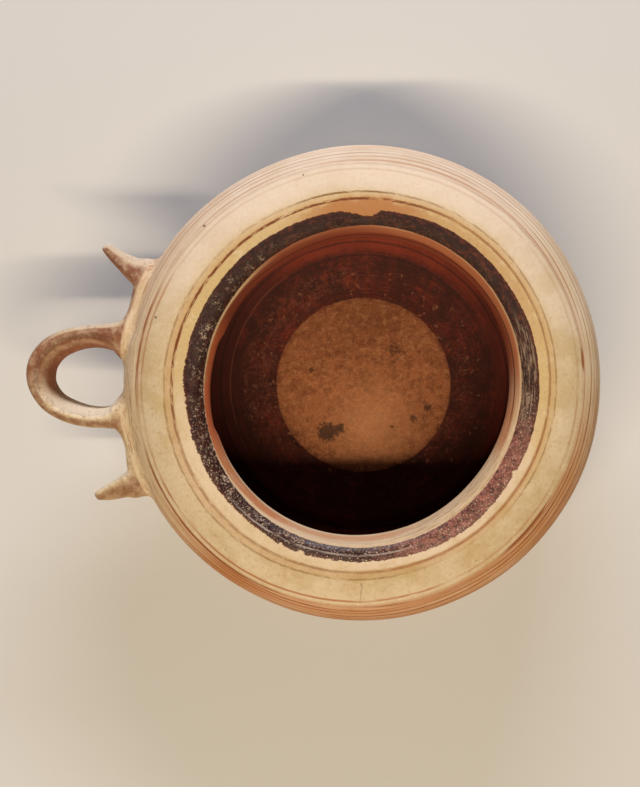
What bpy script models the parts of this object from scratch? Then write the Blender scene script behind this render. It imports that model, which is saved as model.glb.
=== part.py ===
"""An exaleiptron: a low, wide-mouthed perfume bowl of fired clay, with a turned-in rim and a spurred strap handle.

The bowl, its ring foot and its handle were joined before firing, so they are one solid.
Metres, +Z up. The foot stands on Z = 0 and the handle points to -X. The origin is under the middle of the whole
vessel, handle included, so the bowl's own axis stands a little to +X.
"""

import math

import bmesh
import bpy
from mathutils import Matrix, Vector

# Bowl
BODY_RADIUS = 0.0930
BODY_HEIGHT = 0.0620
BELLY_HEIGHT = 0.0380
WALL = 0.0050
FLOOR_THICKNESS = 0.0055
FLOOR_FLAT_RADIUS = 0.0300

# Rim, which rolls over its crest and hangs down inside the mouth
MOUTH_RADIUS = 0.0570
RIM_RUN = 0.0070
RIM_DROP = 0.0125
RIM_THICKNESS = 0.0045

# Ring foot
FOOT_RADIUS = 0.0500
FOOT_FLARE = 0.0035
FOOT_WIDTH = 0.0070
FOOT_RECESS = 0.0060
FOOT_EDGE = 0.0012

# Strap handle: one ribbon pressed to the belly, with a loop in its middle and its two ends turned out as spurs
HANDLE_TURN = math.radians(1.1)
LOOP_REACH = 0.0358
LOOP_HALF_WIDTH = 0.0175
LOOP_SWAY = 0.0009
LOOP_LIFT = 0.0022
SPUR_GAP = 0.0188
SPUR_LENGTH = 0.0204
UPPER_SPUR_SPLAY = math.radians(45)
LOWER_SPUR_SPLAY = math.radians(29)
STRAP_THICKNESS = 0.0062
STRAP_HEIGHT = 0.0165
STRAP_RISE = 0.0090
STRAP_LEAN = 0.0034

# Facets
TURN_STEPS = 72
STATIONS_PER_SPAN = 3
STRAP_SIDES = 10
STRAP_ROUNDNESS = 0.5
MERGE = 0.00005

CLAY_COLOUR = (0.66, 0.49, 0.30, 1.0)
CLAY_ROUGHNESS = 0.62

# How far out from the bowl's axis the ribbon's middle and its deepest part lie where it is pressed into the wall
SEAT_RADIUS = BODY_RADIUS - WALL * 0.6 + STRAP_THICKNESS * 0.42
SEAT_DEPTH_RADIUS = BODY_RADIUS - WALL * 0.66


def clear_scene():
    for obj in list(bpy.data.objects):
        bpy.data.objects.remove(obj, do_unlink=True)


def new_collection(name):
    collection = bpy.data.collections.new(name)
    bpy.context.scene.collection.children.link(collection)
    return collection


def fired_clay():
    material = bpy.data.materials.new("fired_clay")
    material.use_nodes = True
    shader = material.node_tree.nodes["Principled BSDF"]
    shader.inputs["Base Color"].default_value = CLAY_COLOUR
    shader.inputs["Roughness"].default_value = CLAY_ROUGHNESS
    shader.inputs["Metallic"].default_value = 0.0
    return material


def arc(centre, across, up, start, end, count):
    """Points of an ellipse about centre, from angle start to end in degrees, 0 being outwards and 90 up."""
    points = []
    for i in range(count + 1):
        angle = math.radians(start + (end - start) * i / count)
        points.append((centre[0] + across * math.cos(angle), centre[1] + up * math.sin(angle)))
    return points


def inside_profile():
    """The section from the edge of the flat floor up the inner wall and under the shoulder to the rim's lower end."""
    floor_top = FOOT_RECESS + FLOOR_THICKNESS
    inside_radius = BODY_RADIUS - WALL
    inside_crest = (MOUTH_RADIUS + RIM_RUN + WALL / 2, BODY_HEIGHT - WALL)
    rim_end_height = BODY_HEIGHT - RIM_DROP
    wall = arc((FLOOR_FLAT_RADIUS, BELLY_HEIGHT), inside_radius - FLOOR_FLAT_RADIUS, BELLY_HEIGHT - floor_top,
               -90, 0, 9)
    shoulder = arc((inside_crest[0], BELLY_HEIGHT), inside_radius - inside_crest[0],
                   inside_crest[1] - BELLY_HEIGHT, 0, 90, 6)
    rim_back = arc((inside_crest[0], rim_end_height), inside_crest[0] - MOUTH_RADIUS - RIM_THICKNESS,
                   inside_crest[1] - rim_end_height, 90, 180, 3)
    rim_end = arc((MOUTH_RADIUS + RIM_THICKNESS / 2, rim_end_height), RIM_THICKNESS / 2, RIM_THICKNESS / 2,
                  0, -180, 4)
    return wall + shoulder[1:] + rim_back[1:] + rim_end[1:]


def outside_profile():
    """The section from the rim's face over its crest and down the shoulder and wall to the foot's waist."""
    crest_radius = MOUTH_RADIUS + RIM_RUN
    rim_face = arc((crest_radius, BODY_HEIGHT - RIM_DROP), RIM_RUN, RIM_DROP, 180, 90, 5)
    shoulder = arc((crest_radius, BELLY_HEIGHT), BODY_RADIUS - crest_radius, BODY_HEIGHT - BELLY_HEIGHT, 90, 0, 9)
    wall_across = BODY_RADIUS - FLOOR_FLAT_RADIUS
    waist_share = (FOOT_RADIUS - FOOT_FLARE - FLOOR_FLAT_RADIUS) / wall_across
    waist_angle = -math.degrees(math.acos(waist_share))
    wall = arc((FLOOR_FLAT_RADIUS, BELLY_HEIGHT), wall_across, BELLY_HEIGHT - FOOT_RECESS, 0, waist_angle, 9)
    return rim_face[1:] + shoulder[1:] + wall[1:]


def foot_profile():
    """The section of the ring foot, from its outer edge under it to the recess inside."""
    inner = FOOT_RADIUS - FOOT_WIDTH
    return [
        (FOOT_RADIUS, FOOT_EDGE * 1.5),
        (FOOT_RADIUS - FOOT_EDGE / 3, FOOT_EDGE / 3),
        (FOOT_RADIUS - FOOT_EDGE, 0.0),
        (inner + FOOT_EDGE, 0.0),
        (inner, FOOT_EDGE),
        (inner - FOOT_EDGE, FOOT_RECESS - FOOT_EDGE),
        (inner - 3 * FOOT_EDGE, FOOT_RECESS),
    ]


def bowl_profile():
    floor_middle = (0.0, FOOT_RECESS + FLOOR_THICKNESS)
    underside_middle = (0.0, FOOT_RECESS)
    return [floor_middle] + inside_profile() + outside_profile() + foot_profile() + [underside_middle]


def turned(name, profile):
    """A profile in the XZ plane, turned about Z by a Screw modifier."""
    form = bmesh.new()
    verts = [form.verts.new((radius, 0.0, height)) for radius, height in profile]
    for start, end in zip(verts, verts[1:]):
        form.edges.new((start, end))
    mesh = bpy.data.meshes.new(name)
    form.to_mesh(mesh)
    form.free()
    obj = bpy.data.objects.new(name, mesh)
    screw = obj.modifiers.new("Turn", "SCREW")
    screw.axis = "Z"
    screw.steps = TURN_STEPS
    screw.render_steps = TURN_STEPS
    screw.use_merge_vertices = True
    screw.merge_threshold = MERGE
    screw.use_smooth_shade = True
    return obj


def seat_reach(aside):
    """How far out from the bowl's axis, along the handle, the ribbon's middle lies on the belly."""
    return math.sqrt(SEAT_RADIUS ** 2 - aside ** 2)


def station(reach, aside, outer, inner, drop, height, lean):
    """One cross-section of the ribbon: where its middle lies in plan, its shares of half the strap's thickness on
    either side, how far its top lies below the ribbon's usual top, and its shares of the full height and lean."""
    half = STRAP_THICKNESS / 2
    top = BELLY_HEIGHT + STRAP_RISE - drop
    return (reach, aside, half * outer, half * inner, top, STRAP_HEIGHT * height, STRAP_LEAN * lean)


def spur_stations(splay, side):
    """The ribbon from a spur's tip to its root on the belly, where its back widens into a web."""
    root_aside = LOOP_HALF_WIDTH + SPUR_GAP
    root = Vector((seat_reach(root_aside), root_aside))
    outwards = Vector((math.cos(splay), math.sin(splay)))
    shares = [
        # along the spur, outer half, inner half, top's drop, height
        (1.00, 0.50, 0.60, 0.0034, 0.48),
        (0.80, 0.70, 1.15, 0.0026, 0.56),
        (0.45, 0.90, 2.00, 0.0014, 0.78),
        (0.10, 1.15, 3.30, 0.0004, 0.95),
    ]
    stations = []
    for along, outer, inner, drop, height in shares:
        place = root + outwards * SPUR_LENGTH * along
        stations.append(station(place.x, side * place.y, outer, inner, drop, height, 0.0))
    return stations


def loop_stations(side):
    """The ribbon from where it is pressed to the belly to where the loop turns at its far end. The leg's root is
    widened into the corner between the leg and the bowl."""
    seat_aside = LOOP_HALF_WIDTH + SPUR_GAP * 0.72
    neck_aside = LOOP_HALF_WIDTH + SPUR_GAP * 0.36
    leg_start = seat_reach(LOOP_HALF_WIDTH)
    leg_length = BODY_RADIUS + LOOP_REACH - leg_start
    stations = [
        station(seat_reach(seat_aside), side * seat_aside, 1.20, 0.90, 0.0, 1.0, 0.0),
        station(seat_reach(neck_aside), side * neck_aside, 1.10, 1.10, 0.0, 1.0, 0.2),
    ]
    shares = [
        # along the leg, aside, outer half, inner half, lift, lean
        (0.07, 1.10, 1.00, 4.30, 0.10, 0.40),
        (0.22, 1.03, 1.00, 1.80, 0.25, 0.60),
        (0.42, 1.00, 1.00, 1.20, 0.40, 0.85),
        (0.63, 0.91, 1.03, 1.20, 0.60, 1.00),
        (0.83, 0.70, 1.10, 1.25, 0.85, 1.00),
        (0.96, 0.36, 1.15, 1.38, 0.97, 1.00),
    ]
    for along, aside, outer, inner, lift, lean in shares:
        stations.append(station(leg_start + leg_length * along, side * LOOP_HALF_WIDTH * aside + LOOP_SWAY,
                                outer, inner, -LOOP_LIFT * lift, 1.0, lean))
    return stations


def ribbon_stations():
    """All the key stations, from the upper spur's tip round the loop to the lower spur's tip."""
    upper = spur_stations(UPPER_SPUR_SPLAY, 1) + loop_stations(1)
    lower = spur_stations(LOWER_SPUR_SPLAY, -1) + loop_stations(-1)
    far_end = station(BODY_RADIUS + LOOP_REACH, LOOP_SWAY, 1.15, 1.42, -LOOP_LIFT, 1.0, 1.0)
    return upper + [far_end] + lower[::-1]


def catmull_rom(a, b, c, d, t):
    return 0.5 * (2 * b + (c - a) * t + (2 * a - 5 * b + 4 * c - d) * t ** 2 + (3 * b - a - 3 * c + d) * t ** 3)


def smooth_run(stations):
    """A smooth run of stations through the key ones."""
    ends = [stations[0]] + stations + [stations[-1]]
    run = []
    for i in range(1, len(ends) - 2):
        for step in range(STATIONS_PER_SPAN):
            t = step / STATIONS_PER_SPAN
            run.append(tuple(catmull_rom(*values, t) for values in zip(*ends[i - 1:i + 3])))
    return run + [stations[-1]]


def add_section(form, values, heading, share=1.0):
    """One closed ring of the ribbon, an upright rounded oblong square to its heading. The ribbon's right-hand side
    faces the bowl and the inside of the loop, and its lower edge leans that way."""
    reach, aside, outer, inner, top, height, lean = values
    right = Vector((heading.y, -heading.x, 0.0))
    middle = Vector((reach, aside, top - height / 2))
    ring = bmesh.ops.create_circle(form, segments=STRAP_SIDES, radius=1.0)["verts"]
    for vert in ring:
        across = math.copysign(abs(vert.co.x) ** STRAP_ROUNDNESS, vert.co.x) * share
        up = math.copysign(abs(vert.co.y) ** STRAP_ROUNDNESS, vert.co.y) * share
        vert.co = middle + right * (across * (inner if across > 0 else outer) + lean * (0.5 - up / 2))
        depth = vert.co.xy.length
        if depth < SEAT_DEPTH_RADIUS:
            vert.co.xy *= SEAT_DEPTH_RADIUS / depth
        vert.co.z += up * height / 2
    return [edge for edge in form.edges if edge.verts[0] in ring and edge.verts[1] in ring]


def ribbon(name):
    """The handle's ribbon, lofted through its stations, closed at the spurs' rounded tips."""
    run = smooth_run(ribbon_stations())
    places = [Vector(values[:2]) for values in run]
    form = bmesh.new()
    rings = []
    for i, values in enumerate(run):
        heading = (places[min(i + 1, len(run) - 1)] - places[max(i - 1, 0)]).normalized()
        rings.append(add_section(form, values, heading))
        if i in (0, len(run) - 1):
            tip = places[i] + heading * (-1 if i == 0 else 1) * values[2] * 0.7
            cap = add_section(form, tuple(tip) + values[2:], heading, 0.6)
            bmesh.ops.contextual_create(form, geom=cap)
            rings.insert(0 if i == 0 else len(rings), cap)
    for ring, following in zip(rings, rings[1:]):
        bmesh.ops.bridge_loops(form, edges=ring + following)
    outwards = Matrix.Scale(-1, 4, (1, 0, 0))
    bmesh.ops.transform(form, matrix=Matrix.Rotation(-HANDLE_TURN, 4, "Z") @ outwards, verts=form.verts)
    bmesh.ops.recalc_face_normals(form, faces=form.faces)
    mesh = bpy.data.meshes.new(name)
    form.to_mesh(mesh)
    form.free()
    return bpy.data.objects.new(name, mesh)


def build():
    clear_scene()
    pieces = new_collection("Exaleiptron")
    cutters = new_collection("Joined_shapes")

    handle = ribbon("handle_ribbon")
    reach = -min(vert.co.x for vert in handle.data.vertices)
    axis_offset = (reach - BODY_RADIUS) / 2
    handle.location.x = axis_offset
    handle.hide_render = True
    handle.display_type = "WIRE"
    cutters.objects.link(handle)

    vessel = turned("vessel", bowl_profile())
    vessel.location.x = axis_offset
    vessel.data.materials.append(fired_clay())
    pieces.objects.link(vessel)
    join = vessel.modifiers.new("Handle", "BOOLEAN")
    join.operation = "UNION"
    join.object = handle


build()
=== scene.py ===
"""The looks of a fired-clay exaleiptron, seen from above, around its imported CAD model. Metres, +Z up."""

import math

import bmesh
import bpy
from mathutils import Matrix, Vector, kdtree, noise
from mathutils.bvhtree import BVHTree


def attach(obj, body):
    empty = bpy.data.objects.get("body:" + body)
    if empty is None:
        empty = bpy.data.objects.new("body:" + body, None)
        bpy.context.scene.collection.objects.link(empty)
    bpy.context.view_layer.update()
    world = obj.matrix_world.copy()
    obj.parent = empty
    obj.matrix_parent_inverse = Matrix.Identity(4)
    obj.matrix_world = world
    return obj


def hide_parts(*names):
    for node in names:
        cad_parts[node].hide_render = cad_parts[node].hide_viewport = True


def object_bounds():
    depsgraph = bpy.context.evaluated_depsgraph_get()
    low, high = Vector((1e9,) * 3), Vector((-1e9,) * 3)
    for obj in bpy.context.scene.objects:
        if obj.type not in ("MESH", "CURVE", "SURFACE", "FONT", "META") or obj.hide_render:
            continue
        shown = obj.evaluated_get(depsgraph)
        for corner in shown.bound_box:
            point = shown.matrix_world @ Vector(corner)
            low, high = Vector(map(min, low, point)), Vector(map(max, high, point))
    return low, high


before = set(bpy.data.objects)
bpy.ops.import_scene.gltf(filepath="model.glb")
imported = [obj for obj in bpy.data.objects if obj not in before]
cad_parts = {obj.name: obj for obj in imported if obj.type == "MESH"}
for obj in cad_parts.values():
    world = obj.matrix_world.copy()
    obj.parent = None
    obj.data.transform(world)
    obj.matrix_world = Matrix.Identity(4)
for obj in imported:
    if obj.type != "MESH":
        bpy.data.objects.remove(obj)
cad_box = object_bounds()

# The bowl's own sizes, as in the part's source
BODY_RADIUS = 0.0930
BODY_HEIGHT = 0.0620
BELLY_HEIGHT = 0.0380
WALL = 0.0050
FLOOR_THICKNESS = 0.0055
FLOOR_FLAT_RADIUS = 0.0300
MOUTH_RADIUS = 0.0570
RIM_RUN = 0.0070
RIM_DROP = 0.0125
RIM_THICKNESS = 0.0045
FOOT_RADIUS = 0.0500
FOOT_FLARE = 0.0035
FOOT_WIDTH = 0.0070
FOOT_RECESS = 0.0060
FOOT_EDGE = 0.0012
INNER_CREST = MOUTH_RADIUS + RIM_RUN + WALL / 2

# The handle's sizes, close to those in the part's source
HANDLE_TURN = math.radians(1.1)
LOOP_REACH = 0.0358
LOOP_HALF_WIDTH = 0.0175
LOOP_SWAY = 0.0012
LOOP_LIFT = 0.0022
SPUR_GAP = 0.0188
SPUR_LENGTH = 0.0204
UPPER_SPUR_SPLAY = math.radians(43)
LOWER_SPUR_SPLAY = math.radians(29)
STRAP_THICKNESS = 0.0062
STRAP_HEIGHT = 0.0165
STRAP_RISE = 0.0090
STRAP_LEAN = 0.0034
SEAT_RADIUS = BODY_RADIUS - WALL * 0.6 + STRAP_THICKNESS * 0.42
SEAT_DEPTH_RADIUS = BODY_RADIUS - WALL * 0.66
SEAT_SHARE, NECK_SHARE = 0.72, 0.36

# Each spur from tip to root: how far along, outer and inner half thickness, its top's drop in metres, height.
# All but the drop are shares of the sizes above.
UPPER_SPUR = [(1.07, 0.66, 0.72, 0.0034, 0.50), (0.82, 0.84, 1.08, 0.0026, 0.58),
              (0.45, 0.98, 2.05, 0.0014, 0.78), (0.10, 1.22, 3.45, 0.0004, 0.95)]
LOWER_SPUR = [(0.96, 0.52, 0.72, 0.0034, 0.48), (0.78, 0.62, 1.34, 0.0026, 0.56),
              (0.45, 0.74, 2.05, 0.0014, 0.78), (0.10, 1.30, 2.85, 0.0004, 0.95)]

# Each spur's rounded tip: how far out beyond its last station, and how large, as shares of the station's
TIP_ROUNDING = ((0.30, 0.94), (0.55, 0.80), (0.70, 0.55), (0.76, 0.25))

# Each leg of the loop from its root: how far along and aside, outer and inner half thickness, lift, lean
UPPER_LEG = [(0.07, 1.10, 1.00, 4.60, 0.10, 0.40), (0.22, 1.03, 0.96, 2.35, 0.25, 0.60),
             (0.42, 1.00, 0.96, 1.50, 0.40, 0.85), (0.63, 0.91, 1.04, 1.36, 0.60, 1.00),
             (0.83, 0.70, 1.16, 1.42, 0.85, 1.00), (0.96, 0.36, 1.20, 1.46, 0.97, 1.00)]
LOWER_LEG = [(0.07, 1.10, 1.02, 4.40, 0.10, 0.40), (0.22, 1.03, 1.14, 1.72, 0.25, 0.60),
             (0.42, 1.00, 1.28, 1.06, 0.40, 0.85), (0.63, 0.91, 1.28, 1.06, 0.60, 1.00),
             (0.83, 0.70, 1.16, 1.14, 0.85, 1.00), (0.96, 0.36, 1.08, 1.28, 0.97, 1.00)]

# The bowl's axis stands this far to +X of the origin
AXIS_X = cad_box[1][0] - BODY_RADIUS

# How finely the clay is modelled
TURN_STEPS = 340
STATIONS_PER_SPAN = 9
STRAP_SIDES = 40
SEAM_PASSES = 60
STRAP_PASSES = 5
ON_AXIS, ONE_PLACE, SLIVER, COARSE_EDGE = 0.00001, 0.000001, 0.00035, 0.0009

# The strap's section: how round its corners are, how much is pared off each leg's inner face towards its top,
# and the distances aside between which one paring changes into the other
STRAP_ROUNDNESS = 0.66
UPPER_PARING, LOWER_PARING = 0.04, 0.38
PARING_CHANGE = (0.004, -0.014)

# The fillet where the strap is luted on: how close to both skins its seam lies, how far it reaches, and from
# which place along X each is sought
SEAM_TOUCH, SEAM_REACH = 0.00003, 0.0058
SEAM_FROM, FILLET_FROM = -0.07, -0.05

# What the finish is told of the shape: how level the strap's ridge is, and how far off the seam's line fades
RIDGE_LEVEL = (0.30, 0.72)
SEAM_LINE = (0.0045, 0.0005)

# The unevenness of the pot: how oval and shifted the body and the rim are, and where each sets in
BODY_OVAL, RIM_OVAL = 0.0006, 0.00124
BODY_SHIFT, RIM_SHIFT = 0.00025, -0.00095
BODY_RADII, RIM_HEIGHTS, RIM_FADE = (0.050, 0.080), (0.040, 0.048), 0.004

# Places swollen outwards or pressed in: by how much, at which side in degrees, and how narrow
BODY_SWELLS = [(0.0010, 145, 20), (0.0006, 208, 20), (-0.0006, 25, 2)]
RIM_SWELLS = [(0.0007, 297, 3)]

# The wall's padding between the loop's legs: how thick and wide, and where it fades out
PAD, PAD_HALF_WIDTH, PAD_FADE = 0.0010, 0.0150, 0.006
PAD_RADII, PAD_FOOT, PAD_TOP = (0.100, 0.094), (0.018, 0.026), (0.056, 0.048)

# The throwing ridges and the dents: how high, and how many to the metre. The foot's lowest part stays flat.
THROWING_RIDGE, RIDGE_PACE, RIDGE_SWAY, DENT, DENT_PACE = 0.00012, 260, 2.2, 0.00025, 28
FOOT_FLAT = (0.0, 0.004)

# The mean way round the shoulder and the spacing of the belly's turned lines, in millimetres
MEAN_TURN = 75
LINE_PITCH, FINE_PITCH = 1.75, 0.62

# The radii of the painted rings, in millimetres: the shoulder's lines, its edge's lines, the band, the disc
INNER_LINE, OUTER_LINE, LOWER_LINE, UPPER_LINE = 71.0, 73.7, 82.7, 85.0
BAND_INSIDE, BAND_OUTSIDE, DISC_EDGE = 60.1, 67.0, 35.2

# Single marks, in millimetres from the bowl's axis: x, y, size, fade and, where it isn't 1, strength
BAND_CHIPS = [(58.9, -33.6, 1.6, 1.8), (-22, -64, 1.4, 1.6), (-61, -27.5, 1, 1.6), (21, -65.6, 1, 1.4),
              (-66.8, -5.6, 1.3, 1.5), (-63.4, -22.8, 1, 1.4), (11, -67.6, 0.8, 1.4),
              (-29.5, -60.5, 0.7, 1.2), (-64.5, -17, 0.8, 1.4)]
SLIP_CHIPS = [(-59.5, 60.5, 0.45, 0.4), (-78, 25.5, 0.4, 0.35), (-21.4, 79.5, 0.3, 0.25)]
DISC_SHADES = [(-8, 14, 3, 4, 0.35), (4, 26, 8, 8, 0.25)]
DISC_PITTED = [(14, 12, 5, 8), (25, -12, 3, 5), (12, -18, 2, 4), (-21.5, 5, 1.2, 2.4)]
DISC_BLOTS = [(26.5, -10.6, 1.4, 2.2), (20.5, -14.6, 1.8, 2.2, 0.9), (11.8, -18.4, 1, 1.8, 0.9),
              (13, 12.5, 4.5, 4.5, 0.55), (-21.5, 5, 1.1, 1.8, 0.9)]
DISC_STAINS = [(-14.9, -20.6, 3.4, 3.4), (-9.4, -18.8, 1.6, 2.4, 0.9), (-21.3, 5, 0.6, 1.2, 0.6)]

# How deep the skin's relief is in millimetres, and how much the slip and the paint shine
SKIN_RELIEF = 0.30
SLIP_SHEEN, PAINT_SHEEN = 0.28, 0.11

# The pot's colours, as on a screen from 0 to 255
CREAM, CREAM_DEEP, YELLOW_CREAM = (213, 193, 161), (196, 172, 129), (200, 171, 115)
PALE, PALE_PINK, TAN, WARM_TAN = (224, 206, 174), (222, 200, 176), (164, 130, 90), (190, 158, 120)
ORANGE, RUST, LINE_BROWN = (184, 120, 68), (142, 82, 48), (118, 62, 28)
TAN_ORANGE, LINE_ORANGE, DARK_RUST = (174, 116, 66), (166, 100, 52), (122, 62, 32)
OLIVE_TAN, OLIVE_BROWN = (164, 130, 84), (138, 104, 58)
LIP_CREAM, LIP_SHADED_PINK, LIP_SHADED_BROWN = (216, 186, 146), (166, 100, 66), (116, 54, 34)
LIP_RED, LIP_STRIPE, LIP_ORANGE, DARK_RED = (124, 50, 30), (190, 98, 58), (194, 126, 80), (68, 28, 22)
DARK_PAINT, BLACK_BROWN = (54, 29, 24), (32, 18, 15)
PLUM, RED_BROWN, BROWN_BLACK = (152, 96, 84), (110, 52, 30), (54, 28, 16)
FLAKE, PALE_FLAKE, GLINT = (146, 122, 98), (204, 178, 152), (186, 172, 164)
UMBER_WASH, PINK_WASH, INNER_TAN = (122, 66, 38), (132, 88, 58), (146, 86, 48)
UMBER, SMEAR_BROWN = (96, 60, 40), (148, 98, 62)
DISC_CLAY_IN_SHADE, DISC_DARK, DISC_PALE = (160, 98, 60), (94, 48, 26), (192, 134, 90)
STAIN, CLAY_SCRAP = (44, 30, 22), (146, 96, 70)
DEEP_RED, BRICK_RED, DEEP_BROWN = (84, 30, 19), (134, 50, 28), (48, 20, 13)
SOOT, GREY_FLECK = (46, 22, 14), (120, 68, 49)

# The camera, above the bowl and a little to its right, as in the photo; its view's height is in degrees
CAMERA_PLACE = Vector((AXIS_X + 0.0234, 0.0096, 0.638))
CAMERA_TARGET = Vector((AXIS_X - 0.016188, -0.004024, 0.038))
CAMERA_VIEW_HEIGHT = 28.836

# The place the lamps are aimed at, the faint light from all round, and the studio's floor
LIT_PLACE = Vector((AXIS_X, 0, 0.045))
SKY_COLOUR, SKY_STRENGTH = (1.0, 0.97, 0.93, 1), 0.015
FLOOR_HALF_WIDTH, FLOOR_COLOUR, FLOOR_ROUGHNESS = 3.0, (0.60, 0.59, 0.57, 1), 0.9


def arc(centre, across, up, start, end, count):
    """Points of an ellipse about centre, from angle start to end in degrees, 0 being outwards and 90 up."""
    points = []
    for i in range(count + 1):
        angle = math.radians(start + (end - start) * i / count)
        points.append((centre[0] + across * math.cos(angle), centre[1] + up * math.sin(angle)))
    return points


def inside_profile():
    """The section from the flat floor up the inner wall and under the shoulder to the rim's lower end."""
    floor_top = FOOT_RECESS + FLOOR_THICKNESS
    inside_radius = BODY_RADIUS - WALL
    crest_height = BODY_HEIGHT - WALL
    rim_end_height = BODY_HEIGHT - RIM_DROP
    floor = [(0.0, floor_top)] + [(FLOOR_FLAT_RADIUS * i / 12, floor_top) for i in range(1, 12)]
    wall = arc((FLOOR_FLAT_RADIUS, BELLY_HEIGHT), inside_radius - FLOOR_FLAT_RADIUS, BELLY_HEIGHT - floor_top,
               -90, 0, 36)
    shoulder = arc((INNER_CREST, BELLY_HEIGHT), inside_radius - INNER_CREST, crest_height - BELLY_HEIGHT,
                   0, 90, 18)
    rim_back = arc((INNER_CREST, rim_end_height), INNER_CREST - MOUTH_RADIUS - RIM_THICKNESS,
                   crest_height - rim_end_height, 90, 180, 8)
    rim_end = arc((MOUTH_RADIUS + RIM_THICKNESS / 2, rim_end_height), RIM_THICKNESS / 2, RIM_THICKNESS / 2,
                  0, -180, 10)
    return floor + wall + shoulder[1:] + rim_back[1:] + rim_end[1:]


def outside_profile():
    """The section from the rim's face over its crest and down the shoulder and wall to the waist."""
    crest_radius = MOUTH_RADIUS + RIM_RUN
    rim_face = arc((crest_radius, BODY_HEIGHT - RIM_DROP), RIM_RUN, RIM_DROP, 180, 90, 16)
    shoulder = arc((crest_radius, BELLY_HEIGHT), BODY_RADIUS - crest_radius, BODY_HEIGHT - BELLY_HEIGHT,
                   90, 0, 40)
    wall_across = BODY_RADIUS - FLOOR_FLAT_RADIUS
    waist_share = (FOOT_RADIUS - FOOT_FLARE - FLOOR_FLAT_RADIUS) / wall_across
    waist_angle = -math.degrees(math.acos(waist_share))
    wall = arc((FLOOR_FLAT_RADIUS, BELLY_HEIGHT), wall_across, BELLY_HEIGHT - FOOT_RECESS, 0, waist_angle, 36)
    return rim_face[1:] + shoulder[1:] + wall[1:]


def foot_profile():
    """The section of the ring foot and the underside, from the foot's waist to the bowl's axis."""
    inner = FOOT_RADIUS - FOOT_WIDTH
    waist = FOOT_RADIUS - FOOT_FLARE
    return [
        (waist + FOOT_FLARE * 0.45, FOOT_RECESS * 0.62),
        (waist + FOOT_FLARE * 0.85, FOOT_RECESS * 0.42),
        (FOOT_RADIUS, FOOT_EDGE * 1.5),
        (FOOT_RADIUS - FOOT_EDGE * 0.08, FOOT_EDGE * 0.8),
        (FOOT_RADIUS - FOOT_EDGE / 3, FOOT_EDGE / 3),
        (FOOT_RADIUS - FOOT_EDGE, 0.0),
        (FOOT_RADIUS - FOOT_WIDTH / 2, 0.0),
        (inner + FOOT_EDGE, 0.0),
        (inner + FOOT_EDGE / 3, FOOT_EDGE / 3),
        (inner, FOOT_EDGE),
        (inner - FOOT_EDGE / 2, FOOT_RECESS / 2),
        (inner - FOOT_EDGE, FOOT_RECESS - FOOT_EDGE),
        (inner - 3 * FOOT_EDGE, FOOT_RECESS),
        (inner * 0.6, FOOT_RECESS),
        (inner * 0.3, FOOT_RECESS),
        (0.0, FOOT_RECESS),
    ]


def turned_bowl():
    """The bowl with its rim and foot, spun from its section."""
    form = bmesh.new()
    verts = [form.verts.new((radius, 0.0, height))
             for radius, height in inside_profile() + outside_profile() + foot_profile()]
    edges = [form.edges.new(pair) for pair in zip(verts, verts[1:])]
    bmesh.ops.spin(form, geom=verts + edges, cent=(0, 0, 0), axis=(0, 0, 1), angle=math.tau, steps=TURN_STEPS,
                   use_merge=True)
    bmesh.ops.remove_doubles(form, verts=form.verts, dist=ONE_PLACE)
    bmesh.ops.recalc_face_normals(form, faces=form.faces)
    return form


def seat_reach(aside):
    """How far out from the bowl's axis, along the handle, the ribbon's middle lies on the belly."""
    return math.sqrt(SEAT_RADIUS ** 2 - aside ** 2)


def station(reach, aside, outer, inner, drop, height, lean):
    """One cross-section of the handle's ribbon: place, half thicknesses, top, height and lean, in metres."""
    half = STRAP_THICKNESS / 2
    top = BELLY_HEIGHT + STRAP_RISE - drop
    return (reach, aside, half * outer, half * inner, top, STRAP_HEIGHT * height, STRAP_LEAN * lean)


def spur_stations(splay, side, shares):
    """The ribbon from a spur's tip to its root on the belly, where its back widens into a web."""
    root_aside = LOOP_HALF_WIDTH + SPUR_GAP
    root = Vector((seat_reach(root_aside), root_aside))
    outwards = Vector((math.cos(splay), math.sin(splay)))
    stations = []
    for along, outer, inner, drop, height in shares:
        place = root + outwards * SPUR_LENGTH * along
        stations.append(station(place.x, side * place.y, outer, inner, drop, height, 0.0))
    return stations


def loop_stations(side, seat_outer, neck_outer, shares):
    """The ribbon from where it is pressed to the belly to where the loop turns at its far end."""
    seat_aside = LOOP_HALF_WIDTH + SPUR_GAP * SEAT_SHARE
    neck_aside = LOOP_HALF_WIDTH + SPUR_GAP * NECK_SHARE
    leg_start = seat_reach(LOOP_HALF_WIDTH)
    leg_length = BODY_RADIUS + LOOP_REACH - leg_start
    stations = [
        station(seat_reach(seat_aside), side * seat_aside, seat_outer, 0.90, 0.0, 1.0, 0.0),
        station(seat_reach(neck_aside), side * neck_aside, neck_outer, 1.10, 0.0, 1.0, 0.2),
    ]
    for along, aside, outer, inner, lift, lean in shares:
        stations.append(station(leg_start + leg_length * along, side * LOOP_HALF_WIDTH * aside + LOOP_SWAY,
                                outer, inner, -LOOP_LIFT * lift, 1.0, lean))
    return stations


def ribbon_stations():
    """All the key stations, from the upper spur's tip round the loop to the lower spur's tip."""
    upper = spur_stations(UPPER_SPUR_SPLAY, 1, UPPER_SPUR) + loop_stations(1, 1.22, 1.26, UPPER_LEG)
    lower = spur_stations(LOWER_SPUR_SPLAY, -1, LOWER_SPUR) + loop_stations(-1, 1.34, 1.12, LOWER_LEG)
    far_end = station(BODY_RADIUS + LOOP_REACH, LOOP_SWAY, 1.15, 1.46, -LOOP_LIFT, 1.0, 1.0)
    return upper + [far_end] + lower[::-1]


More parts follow.
